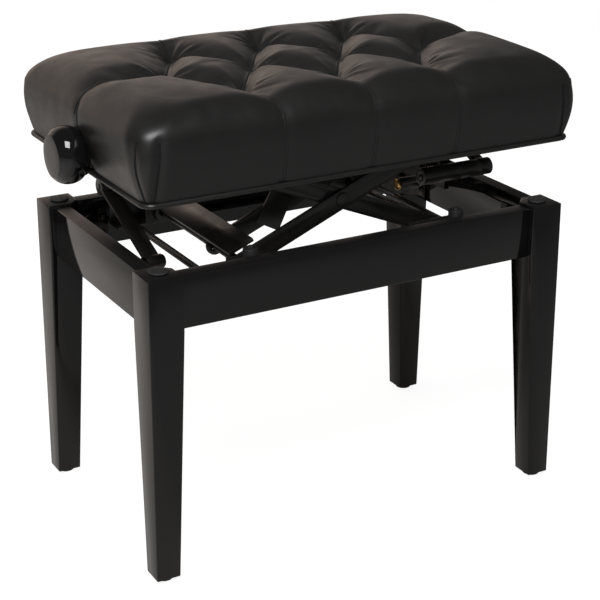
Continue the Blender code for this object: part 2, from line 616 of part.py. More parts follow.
def build_piping(parent):
    """The corded seam that runs round the foot of the cover."""
    corner = 0.010
    x, y = SEAT_LENGTH / 2 - PIPING_RADIUS, SEAT_WIDTH / 2 - PIPING_RADIUS
    path = []
    for sx, sy, start in ((1, 1, 0), (-1, 1, 90), (-1, -1, 180), (1, -1, 270)):
        path += arc((sx * (x - corner), sy * (y - corner)), corner, start, start + 90, 5)
    curve = bpy.data.curves.new("seat_piping", "CURVE")
    curve.dimensions = "3D"
    curve.bevel_depth = PIPING_RADIUS
    curve.bevel_resolution = 1
    spline = curve.splines.new("POLY")
    spline.points.add(len(path) - 1)
    spline.use_cyclic_u = True
    for point, (px, py) in zip(spline.points, path):
        point.co = (px, py, SEAT_UNDERSIDE_Z + PIPING_RADIUS, 1.0)
    curve.materials.append(LEATHER)
    piping = bpy.data.objects.new("seat_piping", curve)
    bpy.context.scene.collection.objects.link(piping)
    piping.parent = parent
    piping.matrix_parent_inverse = Matrix.Translation(-parent.location)
    return piping


# ---- spindle ------------------------------------------------------------------------------
def build_drive(spindle_axis, nut_axis):
    y, z = SPINDLE_Y, SPINDLE_Z
    nut = box("nut_block", (PIVOT_X - 0.012, y - 0.0110, UPPER_PIVOT_Z - 0.010),
              (PIVOT_X + 0.012, y + 0.0110, z + 0.012), BRASS, nut_axis)
    bore(nut, (PIVOT_X - 0.02, y, z), (PIVOT_X + 0.02, y, z), SPINDLE_RADIUS + BORE_CLEARANCE)
    bore(nut, (PIVOT_X, y - 0.02, UPPER_PIVOT_Z), (PIVOT_X, y + 0.02, UPPER_PIVOT_Z),
         SHAFT_RADIUS + BORE_CLEARANCE)

    knob_foot = SEAT_LENGTH / 2 + 0.0035
    cylinder("spindle", (-knob_foot - 0.014, y, z), (knob_foot + 0.014, y, z), SPINDLE_RADIUS,
             STEEL, spindle_axis)
    for name, sx in ENDS:
        knob = cylinder(f"knob_{name}", (sx * knob_foot, y, z),
                        (sx * (knob_foot + KNOB_LENGTH), y, z), KNOB_RADIUS, PLASTIC,
                        spindle_axis, sides=40)
        round_edges(knob, 0.006, 3)
        bore(knob, (sx * (knob_foot - 0.005), y, z), (sx * (knob_foot + 0.0145), y, z),
             SPINDLE_RADIUS + BORE_CLEARANCE, sides=20)


# ---- assembly -----------------------------------------------------------------------------
def build_bench():
    build_frame()
    build_fixed_steel()
    axis_a = add_axis("arm_a_axis", (FOOT_A[0], 0, FOOT_A[1]))
    axis_c = add_axis("arm_c_axis", (0, 0, CENTRE_Z))
    seat_axis = add_axis("seat_axis", (HEAD_C[0], 0, HEAD_C[1]))
    nut_axis = add_axis("nut_axis", (HEAD_A[0], 0, HEAD_A[1]))
    spindle_axis = add_axis("spindle_axis", (0, SPINDLE_Y, SPINDLE_Z))
    build_arms(axis_a, axis_c)
    build_yoke(axis_a)
    build_shafts(axis_a, axis_c, seat_axis)
    for name, sx in ENDS:
        lower_axis = add_axis(f"knee_lower_axis_{name}", (0, -sx * KNEE_FOOT_Y, LOWER_PIVOT_Z))
        upper_axis = add_axis(f"knee_upper_axis_{name}", (0, -sx * KNEE_HINGE_Y, CENTRE_Z))
        build_knee(name, sx, lower_axis, upper_axis)
    build_seat_box(seat_axis)
    build_cover(seat_axis)
    build_piping(seat_axis)
    build_drive(spindle_axis, nut_axis)


build_bench()
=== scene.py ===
"""Adjustable piano bench: black lacquered frame, scissor lift, tufted leather seat."""

import math

import bmesh
import bpy
import numpy as np
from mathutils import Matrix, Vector
from mathutils.bvhtree import BVHTree


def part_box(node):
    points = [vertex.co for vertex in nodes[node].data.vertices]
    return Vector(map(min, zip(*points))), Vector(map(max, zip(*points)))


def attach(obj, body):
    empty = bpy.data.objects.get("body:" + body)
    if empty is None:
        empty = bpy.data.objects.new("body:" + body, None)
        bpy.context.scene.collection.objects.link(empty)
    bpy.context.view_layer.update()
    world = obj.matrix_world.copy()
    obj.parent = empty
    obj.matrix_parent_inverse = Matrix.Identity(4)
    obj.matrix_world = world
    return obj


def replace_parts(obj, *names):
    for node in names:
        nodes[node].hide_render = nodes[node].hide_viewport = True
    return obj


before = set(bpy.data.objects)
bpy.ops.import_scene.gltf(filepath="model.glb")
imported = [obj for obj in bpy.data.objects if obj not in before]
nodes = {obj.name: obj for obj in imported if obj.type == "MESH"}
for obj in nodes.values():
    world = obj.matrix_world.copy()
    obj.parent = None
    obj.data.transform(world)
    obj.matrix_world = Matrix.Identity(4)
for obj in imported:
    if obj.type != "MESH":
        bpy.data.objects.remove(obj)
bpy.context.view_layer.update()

# ---- Legs and aprons ----
# Solid beech, filled and sprayed with several coats of black polyester lacquer, then buffed.
# Each leg tapers below the apron; the aprons are glued and bolted between them.


class Finish:
    """A surface finish built up from nodes on one principled shader."""

    def __init__(self, name, colour, roughness, **sockets):
        self.material = bpy.data.materials.new(name)
        self.material.use_nodes = True
        self.tree = self.material.node_tree
        self.shader = self.tree.nodes["Principled BSDF"]
        self.shader.inputs["Base Color"].default_value = (*colour, 1.0)
        self.shader.inputs["Roughness"].default_value = roughness
        for socket, value in sockets.items():
            self.shader.inputs[socket.replace("_", " ")].default_value = value
        self.place = self.tree.nodes.new("ShaderNodeTexCoord").outputs["Object"]

    def noise(self, scale, detail=3.0, stretch=(1.0, 1.0, 1.0)):
        """Soft clouds, drawn out along an axis by a lower stretch."""
        mapping = self.tree.nodes.new("ShaderNodeMapping")
        mapping.inputs["Scale"].default_value = stretch
        self.tree.links.new(self.place, mapping.inputs["Vector"])
        cloud = self.tree.nodes.new("ShaderNodeTexNoise")
        cloud.inputs["Scale"].default_value = scale
        cloud.inputs["Detail"].default_value = detail
        self.tree.links.new(mapping.outputs["Vector"], cloud.inputs["Vector"])
        return cloud.outputs["Fac"]

    def cells(self, scale, feature="F1"):
        """Small cells, like the grain of leather or the holes of woven cloth."""
        cell = self.tree.nodes.new("ShaderNodeTexVoronoi")
        cell.feature = feature
        cell.inputs["Scale"].default_value = scale
        self.tree.links.new(self.place, cell.inputs["Vector"])
        return cell.outputs["Distance"]

    def spread(self, source, low, high, start=0.35, end=0.65):
        """A number that runs from low to high as the source goes from start to end."""
        ramp = self.tree.nodes.new("ShaderNodeMapRange")
        ramp.inputs["From Min"].default_value = start
        ramp.inputs["From Max"].default_value = end
        ramp.inputs["To Min"].default_value = low
        ramp.inputs["To Max"].default_value = high
        self.tree.links.new(source, ramp.inputs["Value"])
        return ramp.outputs["Result"]

    def vary_roughness(self, source, low, high):
        self.tree.links.new(self.spread(source, low, high), self.shader.inputs["Roughness"])

    def dull_tops(self, roughness):
        """Adds roughness where the surface faces up: tops are rubbed flat, but not buffed."""
        facing = self.tree.nodes.new("ShaderNodeNewGeometry")
        axes = self.tree.nodes.new("ShaderNodeSeparateXYZ")
        self.tree.links.new(facing.outputs["Normal"], axes.inputs["Vector"])
        extra = self.spread(axes.outputs["Z"], 0.0, roughness, 0.90, 0.99)
        total = self.tree.nodes.new("ShaderNodeMath")
        socket = self.shader.inputs["Roughness"]
        self.tree.links.new(socket.links[0].from_socket, total.inputs[0])
        self.tree.links.new(extra, total.inputs[1])
        self.tree.links.new(total.outputs["Value"], socket)

    def vary_colour(self, source, first, second):
        ramp = self.tree.nodes.new("ShaderNodeValToRGB")
        for stop, place, colour in zip(ramp.color_ramp.elements, (0.35, 0.65), (first, second)):
            stop.position = place
            stop.color = (*colour, 1.0)
        self.tree.links.new(source, ramp.inputs["Fac"])
        self.tree.links.new(ramp.outputs["Color"], self.shader.inputs["Base Color"])

    def relief(self, *layers):
        """Bump layers, each a (source, depth in metres, strength)."""
        normal = None
        for source, depth, strength in layers:
            bump = self.tree.nodes.new("ShaderNodeBump")
            bump.inputs["Strength"].default_value = strength
            bump.inputs["Distance"].default_value = depth
            self.tree.links.new(source, bump.inputs["Height"])
            if normal:
                self.tree.links.new(normal, bump.inputs["Normal"])
            normal = bump.outputs["Normal"]
        self.tree.links.new(normal, self.shader.inputs["Normal"])


def dress(finish, names, edge=0.0004):
    """Gives CAD pieces their finish and a softened edge that catches the light."""
    for name in names:
        piece = nodes[name]
        piece.data.materials.clear()
        piece.data.materials.append(finish.material)
        piece.data.shade_smooth()
        weld = piece.modifiers.new("join corners", "WELD")
        weld.merge_threshold = 0.00001
        soften = piece.modifiers.new("soft edge", "BEVEL")
        soften.width = edge
        soften.segments = 2
        soften.limit_method = "ANGLE"
        soften.angle_limit = math.radians(34)
        soften.harden_normals = True


lacquer = Finish("black_lacquer", (0.0055, 0.005, 0.005), 0.06)
lacquer.vary_roughness(lacquer.noise(14.0, 4.0), 0.035, 0.085)
lacquer.dull_tops(0.42)
lacquer.relief((lacquer.noise(95.0, 2.0), 0.00006, 0.35),
               (lacquer.noise(11.0, 1.0), 0.0012, 0.10))

ENDS = (("left", -1), ("right", 1))
SIDES = (("front", -1), ("back", 1))
ALL_ROUND = [name for name, _ in SIDES + ENDS]
CORNERS = [(f"{y_name}_{x_name}", sx, sy) for y_name, sy in SIDES for x_name, sx in ENDS]

dress(lacquer, [f"leg_{corner}" for corner, _, _ in CORNERS]
      + [f"apron_{side}" for side in ALL_ROUND], edge=0.0005)

# ---- Foot glides and leg buffers ----
# Round moulded rubber pads. The glides are nailed under the legs, and the buffers sit in the
# leg tops, where the lowered seat would meet them.
pad_rubber = Finish("moulded_rubber", (0.016, 0.016, 0.017), 0.62)
pad_rubber.vary_roughness(pad_rubber.noise(240.0, 3.0), 0.50, 0.75)
pad_rubber.relief((pad_rubber.noise(900.0, 2.0), 0.00008, 0.4))
dress(pad_rubber, [f"foot_glide_{corner}" for corner, _, _ in CORNERS]
      + [f"leg_buffer_{corner}" for corner, _, _ in CORNERS])

# ---- Corner brackets ----
# Pressed steel with a black zinc plating, bent across each corner. A hanger bolt with a washer
# and a nut draws the leg in, and two pan-head screws hold each flange to its apron.
zinc = Finish("black_zinc_plate", (0.045, 0.043, 0.040), 0.34, Metallic=1.0)
zinc.vary_colour(zinc.noise(60.0, 4.0), (0.032, 0.030, 0.028), (0.060, 0.058, 0.054))
zinc.vary_roughness(zinc.noise(180.0, 3.0), 0.26, 0.46)
zinc.relief((zinc.noise(700.0, 2.0), 0.00004, 0.3))
dress(zinc, [f"corner_bracket_{corner}" for corner, _, _ in CORNERS])


def new_piece(name, shape, finish, body, smooth=40):
    """Turns a bmesh into a piece that rides on a body. Edges sharper than smooth stay crisp."""
    bmesh.ops.recalc_face_normals(shape, faces=shape.faces)
    mesh = bpy.data.meshes.new(name)
    shape.to_mesh(mesh)
    shape.free()
    mesh.materials.append(finish.material)
    mesh.shade_smooth()
    mesh.set_sharp_from_angle(angle=math.radians(smooth))
    piece = bpy.data.objects.new(name, mesh)
    bpy.context.scene.collection.objects.link(piece)
    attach(piece, body)
    return piece


def turn_profile(shape, profile, base, direction, sides=24, hexagon=()):
    """Sweeps (radius, height) pairs round a line. The pairs in hexagon get six flats."""
    sixth = math.pi / 3
    direction = Vector(direction).normalized()
    turn = direction.to_track_quat("Z", "Y").to_matrix()
    rings = []
    for radius, height in profile:
        ring = []
        for i in range(sides):
            a = 2 * math.pi * i / sides
            reach = radius
            if (radius, height) in hexagon:
                reach = radius * math.cos(sixth / 2) / math.cos((a % sixth) - sixth / 2)
            ring.append(shape.verts.new(
                Vector(base) + turn @ Vector((reach * math.cos(a), reach * math.sin(a), height))))
        rings.append(ring)
    for low, high in zip(rings, rings[1:]):
        for i in range(sides):
            j = (i + 1) % sides
            shape.faces.new((low[i], low[j], high[j], high[i]))
    shape.faces.new(rings[0][::-1])
    shape.faces.new(rings[-1])


def screw_head(shape, place, direction, radius):
    """A pan head with a hexagon socket."""
    socket = [(radius * 0.48, radius * 0.66), (radius * 0.46, radius * 0.25)]
    profile = [(radius * 0.98, 0.0), (radius, radius * 0.12), (radius * 0.92, radius * 0.42),
               (radius * 0.70, radius * 0.60), (radius * 0.56, radius * 0.66)] + socket
    turn_profile(shape, profile, place, direction, hexagon=socket)


def hex_nut(shape, place, direction, radius, height):
    """A nut with chamfered corners, and a bore in its outer face."""
    nut = [(radius, 0.0), (radius, height * 0.85), (radius * 0.93, height)]
    bore = [(radius * 0.55, height), (radius * 0.50, height * 0.88)]
    turn_profile(shape, nut + bore, place, direction, hexagon=nut)


BRACKET_SHEET = 0.0026
BOLT_INSET = 0.0211             # the bent middle's face, in from the bracket's two outer faces
FLANGE_SCREW_INSET = 0.0455
SCREW_FROM_EDGE = 0.011
WASHER_RADIUS, WASHER_THICKNESS = 0.0085, 0.0015
BOLT_RADIUS, BOLT_LENGTH = 0.0033, 0.0172
for corner, sx, sy in CORNERS:
    low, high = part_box(f"corner_bracket_{corner}")
    outer = Vector((high.x if sx > 0 else low.x, high.y if sy > 0 else low.y, 0))
    inward = Vector((-sx, -sy, 0)).normalized()
    middle = outer + Vector((-sx, -sy, 0)) * BOLT_INSET + Vector((0, 0, (low.z + high.z) / 2))
    shape = bmesh.new()
    turn_profile(shape, [(WASHER_RADIUS, 0), (WASHER_RADIUS, 0.0012), (0.0080, WASHER_THICKNESS)],
                 middle, inward)
    hex_nut(shape, middle + inward * WASHER_THICKNESS, inward, radius=0.0075, height=0.0062)
    turn_profile(shape, [(BOLT_RADIUS, 0), (BOLT_RADIUS, 0.016), (0.0024, BOLT_LENGTH)],
                 middle, inward)
    for z in (low.z + SCREW_FROM_EDGE, high.z - SCREW_FROM_EDGE):
        screw_head(shape, (outer.x - sx * FLANGE_SCREW_INSET, outer.y - sy * BRACKET_SHEET, z),
                   (0, -sy, 0), radius=0.0042)
        screw_head(shape, (outer.x - sx * BRACKET_SHEET, outer.y - sy * FLANGE_SCREW_INSET, z),
                   (-sx, 0, 0), radius=0.0042)
    new_piece(f"bracket_fasteners_{corner}", shape, zinc, "base")

# ---- Lower rails, stop posts, cross plates and lower shaft ----
# Pressed steel painted satin black. The rails are screwed to the aprons, the posts are rubber
# buffers on screws, and the plated shaft runs through both rails.
steel_paint = Finish("black_steel_paint", (0.025, 0.0235, 0.0222), 0.32)
steel_paint.vary_roughness(steel_paint.noise(35.0, 4.0), 0.26, 0.38)
steel_paint.relief((steel_paint.noise(420.0, 2.0), 0.00007, 0.35),
                   (steel_paint.noise(24.0, 1.0), 0.0006, 0.10))
dress(steel_paint, ["lower_rail_front", "lower_rail_back", "cross_plate_right",
                    "cross_tie_left"])
dress(zinc, ["lower_pivot_shaft", "knee_foot_stud_left", "knee_foot_stud_right"])

RAIL_SHEET = 0.0026
RAIL_SCREW_X, RAIL_SCREW_DROP = (-0.178, -0.062, 0.040, 0.178), 0.0065
for side, sy in SIDES:
    low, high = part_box(f"lower_rail_{side}")
    wall = sy * (max(abs(low.y), abs(high.y)) - RAIL_SHEET)
    shape = bmesh.new()
    for x in RAIL_SCREW_X:
        screw_head(shape, (x, wall, high.z - RAIL_SCREW_DROP), (0, -sy, 0), radius=0.0043)
    new_piece(f"rail_screws_{side}", shape, zinc, "base")

    for end, _ in ENDS:
        post = f"stop_post_{side}_{end}"
        low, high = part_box(post)
        radius, height = (high.x - low.x) / 2, high.z - low.z
        profile = [(radius, 0.0), (radius, height - 0.0042), (radius * 0.97, height - 0.0034),
                   (radius * 0.90, height - 0.0030), (radius * 0.44, height - 0.0029),
                   (radius * 0.40, height - 0.0025), (radius * 0.38, height - 0.0012),
                   (radius * 0.30, height - 0.0004), (radius * 0.14, height)]
        shape = bmesh.new()
        turn_profile(shape, profile, ((low.x + high.x) / 2, (low.y + high.y) / 2, low.z),
                     (0, 0, 1), sides=36)
        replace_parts(new_piece(f"post_{side}_{end}", shape, pad_rubber, "base"), post)

PLATE_SCREW_FROM_END = 0.009
for plate in ("cross_plate_right", "cross_tie_left"):
    low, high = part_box(plate)
    shape = bmesh.new()
    for y in (low.y + PLATE_SCREW_FROM_END, high.y - PLATE_SCREW_FROM_END):
        screw_head(shape, ((low.x + high.x) / 2, y, high.z), (0, 0, 1), radius=0.0040)
    new_piece(f"{plate}_screws", shape, zinc, "base")

# ---- Scissor arms ----
# Flat steel bars with round ends, painted satin black and riveted together at the middle.
# Plated shafts join the front pair to the back pair and slide in the slotted rails.
dress(steel_paint, ["arm_a_front", "arm_a_back", "arm_c_front", "arm_c_back", "lift_yoke"])
dress(zinc, ["upper_slide_shaft", "lower_slide_shaft", "upper_pivot_shaft"])

CLIP_Y = 0.1133                 # a spring clip on each end holds the lower shaft in its slots
low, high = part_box("lower_slide_shaft")
slide_x, slide_z = (low.x + high.x) / 2, (low.z + high.z) / 2
for side, sy in SIDES:
    shape = bmesh.new()
    turn_profile(shape, [(0.0052, 0), (0.0078, 0.0002), (0.0078, 0.0012), (0.0052, 0.0014)],
                 (slide_x, sy * CLIP_Y, slide_z), (0, sy, 0))
    new_piece(f"slide_clip_{side}", shape, zinc, "arms_c")

# ---- Stabiliser knees ----
# Folded steel leaves that keep the seat level from front to back. Each knuckle turns on a
# plated pin. The bearings are lined with bushes, of steel at the left and brass at the right.
dress(steel_paint, [f"knee_{leaf}_leaf_{end}" for leaf in ("lower", "upper")
                    for end, _ in ENDS])
brass = Finish("turned_brass", (0.66, 0.42, 0.17), 0.28, Metallic=1.0)
brass.vary_roughness(brass.noise(260.0, 3.0, (1.0, 8.0, 8.0)), 0.20, 0.42)
brass.relief((brass.noise(900.0, 2.0, (1.0, 10.0, 10.0)), 0.00003, 0.3))

LEFT_BEARING = 0.0195           # its length, in from the outer face of the lower leaf
RIGHT_BEARING = (0.1825, 0.2115)
for end, sx in ENDS:
    low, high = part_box(f"knee_foot_stud_{end}")
    y, z = (low.y + high.y) / 2, (low.z + high.z) / 2
    leaf_end = max(abs(corner.x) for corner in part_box(f"knee_lower_leaf_{end}"))
    bearing = (leaf_end - LEFT_BEARING, leaf_end) if sx < 0 else RIGHT_BEARING
    shape = bmesh.new()
    for x, way in zip(bearing, (-1, 1)):
        turn_profile(shape, [(0.0043, 0), (0.0074, 0.0001), (0.0074, 0.0030), (0.0062, 0.0040),
                             (0.0043, 0.0040)], (sx * x, y, z), (sx * way, 0, 0), sides=28)
    bush, slot = (zinc, "zinc_steel") if sx < 0 else (brass, "brass")
    new_piece(f"knee_bushes_{end}", shape, bush, f"knee_lower_{end}")

# ---- Seat box ----
# Glued plywood rims under a board, lined with black cloth. The steel upper rails are screwed
# inside the battens that run along the front and back rims.
underlining = Finish("black_underlining", (0.010, 0.010, 0.010), 0.88)
underlining.relief((underlining.cells(1300.0), 0.00015, 0.5))
dress(underlining, [f"seat_rim_{side}" for side in ALL_ROUND] + ["seat_board"])
dress(steel_paint, ["upper_rail_front", "upper_rail_back"])
dress(zinc, ["knee_seat_stud_left", "knee_seat_stud_right"])

UPPER_SCREW_X, UPPER_SCREW_DROP = (-0.095, 0.0, 0.070), 0.0075
for side, sy in SIDES:
    low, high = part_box(f"upper_rail_{side}")
    face = sy * min(abs(low.y), abs(high.y))
    shape = bmesh.new()
    for x in UPPER_SCREW_X:
        screw_head(shape, (x, face, high.z - UPPER_SCREW_DROP), (0, -sy, 0), radius=0.0042)
    new_piece(f"upper_rail_screws_{side}", shape, zinc, "seat")

# ---- Cushion ----
# Soft black leather over foam. The top is drawn down at ten points in three staggered rows;
# pleats join the points and run out to the edges as seams.
leather = Finish("black_leather", (0.0105, 0.0102, 0.0100), 0.37)
leather.vary_colour(leather.noise(9.0, 3.0), (0.0094, 0.0091, 0.0089), (0.0116, 0.0113, 0.0110))
leather.vary_roughness(leather.noise(48.0, 4.0), 0.33, 0.41)
leather.relief((leather.cells(1150.0, "SMOOTH_F1"), 0.00020, 0.18),
               (leather.noise(320.0, 3.0), 0.00016, 0.18))

cover_low, cover_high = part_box("seat_cover")
HEM_Z = cover_low.z
TOP_Z = cover_high.z
HALF_X, HALF_Y = 0.2765, 0.1700
END_BULGE, SIDE_BULGE = 0.0115, 0.0080
SHOULDER = 0.034                # radius of the edge between the walls and the top
CORNER_FOOT, CORNER_TOP = 0.014, 0.034
GRID_DROP = 0.002               # how far below the full height the flat grid starts

PLEAT_DEPTH, TUFT_DEPTH, EDGE_PLEAT_DEPTH = 0.0165, 0.0065, 0.0150
PLEAT_REACH, EDGE_PLEAT_REACH, TUFT_REACH = 0.050, 0.052, 0.026
FOLD_HEIGHT, FOLD_AWAY, FOLD_WIDTH = 0.0012, 0.015, 0.013
END_FALL, SIDE_FALL = 0.003, 0.004
BACK_TUFTS = [(-0.121, 0.094), (-0.001, 0.096), (0.124, 0.099)]
MIDDLE_TUFTS = [(-0.172, 0.003), (-0.060, 0.004), (0.060, 0.004), (0.175, 0.003)]
FRONT_TUFTS = [(-0.120, -0.089), (0.002, -0.087), (0.118, -0.085)]
TUFTS = BACK_TUFTS + MIDDLE_TUFTS + FRONT_TUFTS
PLEATS = []
for row in (BACK_TUFTS, FRONT_TUFTS):
    for i, tuft in enumerate(row):
        PLEATS += [(tuft, MIDDLE_TUFTS[i]), (tuft, MIDDLE_TUFTS[i + 1])]
FRONT_SEAM_X, BACK_SEAM_X = (-0.112, 0.002, 0.113), (-0.107, 0.014, 0.139)
EDGE_X, EDGE_Y = 0.290, 0.185
EDGE_PLEATS = ([(tuft, (tuft[0] + 0.015, EDGE_Y)) for tuft in BACK_TUFTS]
               + [(tuft, (x, -EDGE_Y)) for tuft, x in zip(FRONT_TUFTS, FRONT_SEAM_X)]
               + [(MIDDLE_TUFTS[0], (-EDGE_X, -0.008)), (MIDDLE_TUFTS[-1], (EDGE_X, 0.030))])


def distance_to(points, segment):
    """How far points lie from a segment, and how far along it they are, from 0 to 1."""
    start, end = (np.array(p) for p in segment)
    along = end - start
    t = np.clip(((points - start) @ along) / (along @ along), 0.0, 1.0)
    return np.linalg.norm(points - (start + t[:, None] * along), axis=1), t


def distance_to_tufts(points):
    """How far plan points lie from the nearest tuft."""
    return np.min([np.linalg.norm(points - np.array(t), axis=1) for t in TUFTS], axis=0)


def seat_height(points):
    """The height of the leather over plan points: pillows between pleats, deep at the tufts,
    with small folds that run out from each tuft."""
    tuft_pull = np.exp(-(distance_to_tufts(points) / TUFT_REACH) ** 1.5)
    drop = np.zeros(len(points))
    for pleat in PLEATS:
        away, _ = distance_to(points, pleat)
        full = PLEAT_DEPTH + TUFT_DEPTH * tuft_pull
        drop = np.maximum(drop, full * np.clip(1 - away / PLEAT_REACH, 0, 1) ** 2.2)
    for pleat in EDGE_PLEATS:
        away, t = distance_to(points, pleat)
        at_back = pleat[1][1] > 0.1
        ease = 2.0 if at_back else 0.8
        full = EDGE_PLEAT_DEPTH * np.clip(1 - ease * t, 0.04, 1) + TUFT_DEPTH * tuft_pull
        reach = EDGE_PLEAT_REACH - 0.020 * t
        drop = np.maximum(drop, full * np.clip(1 - away / reach, 0, 1) ** 2.0)
    folds = np.zeros(len(points))
    for k, tuft in enumerate(TUFTS):
        offset = points - np.array(tuft)
        away = np.linalg.norm(offset, axis=1)
        heading = np.arctan2(offset[:, 1], offset[:, 0])
        wave = np.cos(9 * heading + 1.7 * k) + 0.8 * np.cos(16 * heading + 0.9 * k)
        folds += FOLD_HEIGHT * wave * np.exp(-((away - FOLD_AWAY) / FOLD_WIDTH) ** 2)
    fall = END_FALL * (points[:, 0] / HALF_X) ** 2 + SIDE_FALL * (points[:, 1] / HALF_Y) ** 2
    return TOP_Z + 0.0010 - fall - drop + folds


def cushion_grid():
    """The cover as rings that climb from the hem over the shoulder, then a grid on top."""
    columns, rows, wall_steps, shoulder_steps = 132, 82, 16, 9
    shoulder_z = TOP_Z - SHOULDER - GRID_DROP

    def place(u, v, layer):
        """The point of a layer at u and v, which run from -1 to 1 along and across the seat."""
        if layer <= wall_steps:
            climb = layer / wall_steps
            height = HEM_Z + (shoulder_z - HEM_Z) * climb
            inset = 0.0
            radius = CORNER_FOOT + (CORNER_TOP - CORNER_FOOT) * climb ** 1.5
        else:
            turn = (layer - wall_steps) / shoulder_steps * math.pi / 2
            height = shoulder_z + SHOULDER * math.sin(turn)
            inset = SHOULDER * (1 - math.cos(turn))
            radius = CORNER_TOP + inset * 0.25
        swell = math.sin(math.pi * min(1.0, (height - HEM_Z) / (TOP_Z - HEM_Z)) ** 1.05)
        reach_x = HALF_X - inset + END_BULGE * swell
        reach_y = HALF_Y - inset + SIDE_BULGE * swell
        x, y = u * reach_x, v * reach_y
        core_x = max(radius - reach_x, min(reach_x - radius, x))
        core_y = max(radius - reach_y, min(reach_y - radius, y))
        away = math.hypot(x - core_x, y - core_y)
        if away > radius:
            x = core_x + (x - core_x) * radius / away
            y = core_y + (y - core_y) * radius / away
        return x, y, height

    def share(i, count):
        """Where step i of a count stands, from -1 to 1."""
        return 2 * i / count - 1

    rim = ([(share(i, columns), -1.0) for i in range(columns)]
           + [(1.0, share(j, rows)) for j in range(rows)]
           + [(share(columns - i, columns), 1.0) for i in range(columns)]
           + [(-1.0, share(rows - j, rows)) for j in range(rows)])
    last = wall_steps + shoulder_steps
    spots, faces = [], []
    for layer in range(last + 1):
        spots += [place(u, v, layer) for u, v in rim]
    around = len(rim)
    for layer in range(last):
        for i in range(around):
            j = (i + 1) % around
            faces.append((layer * around + i, layer * around + j,
                          (layer + 1) * around + j, (layer + 1) * around + i))
    index = {}
    for i, (u, v) in enumerate(rim):
        index[round((u + 1) * columns / 2), round((v + 1) * rows / 2)] = last * around + i
    for i in range(1, columns):
        for j in range(1, rows):
            index[i, j] = len(spots)
            spots.append(place(share(i, columns), share(j, rows), last))
    for i in range(columns):
        for j in range(rows):
            faces.append((index[i, j], index[i + 1, j], index[i + 1, j + 1], index[i, j + 1]))
    return np.array(spots), faces, shoulder_z


spots, faces, shoulder_z = cushion_grid()
blend_up = np.clip((spots[:, 2] - shoulder_z) / SHOULDER, 0, 1)
blend_up = blend_up ** 2 * (3 - 2 * blend_up)
sink = TOP_Z - GRID_DROP - seat_height(spots[:, :2])
spots[:, 2] -= sink * blend_up

# Seams run down the walls: three at the front, one at each end and three at the back.
SEAM_TOP_Z, SEAM_TOP_Y, SEAM_FOOT_Y = 0.532, 0.176, 0.172
WALL_SEAMS = []
for x in FRONT_SEAM_X:
    WALL_SEAMS.append(((x, -SEAM_TOP_Y, SEAM_TOP_Z), (x, -SEAM_FOOT_Y, HEM_Z)))
WALL_SEAMS.append(((-0.284, -0.010, 0.530), (-0.278, -0.030, HEM_Z)))
WALL_SEAMS.append(((0.284, 0.030, 0.530), (0.278, 0.046, HEM_Z)))
for x in BACK_SEAM_X:
    WALL_SEAMS.append(((x, SEAM_TOP_Y, SEAM_TOP_Z), (x, SEAM_FOOT_Y, HEM_Z)))

# Two short darts take up the leather at each corner.
DARTS = []
for sx in (-1, 1):
    for sy in (-1, 1):
        DARTS.append(((sx * 0.289, sy * 0.162, 0.522), (sx * 0.279, sy * 0.163, HEM_Z)))
        DARTS.append(((sx * 0.260, sy * 0.178, 0.521), (sx * 0.2655, sy * 0.1725, HEM_Z)))


def pull_in(spots, seam, depth, width):
    """Draws the walls straight in along a narrow line."""
    away, _ = distance_to(spots, seam)
    strength = depth * np.exp(-(away / width) ** 2)
    inward = np.zeros_like(spots)
    on_end = np.abs(spots[:, 0]) / HALF_X > np.abs(spots[:, 1]) / HALF_Y
    inward[on_end, 0] = -np.sign(spots[on_end, 0])
    inward[~on_end, 1] = -np.sign(spots[~on_end, 1])
    return spots + inward * strength[:, None]


for seam in WALL_SEAMS:
    spots = pull_in(spots, seam, depth=0.0020, width=0.006)
for dart in DARTS:
    spots = pull_in(spots, dart, depth=0.0028, width=0.0055)

cushion_mesh = bpy.data.meshes.new("leather_cushion")
cushion_mesh.from_pydata([tuple(s) for s in spots], [], faces)
cushion_mesh.update()
cushion_mesh.materials.append(leather.material)
cushion_mesh.shade_smooth()
cushion = bpy.data.objects.new("leather_cushion", cushion_mesh)
bpy.context.scene.collection.objects.link(cushion)


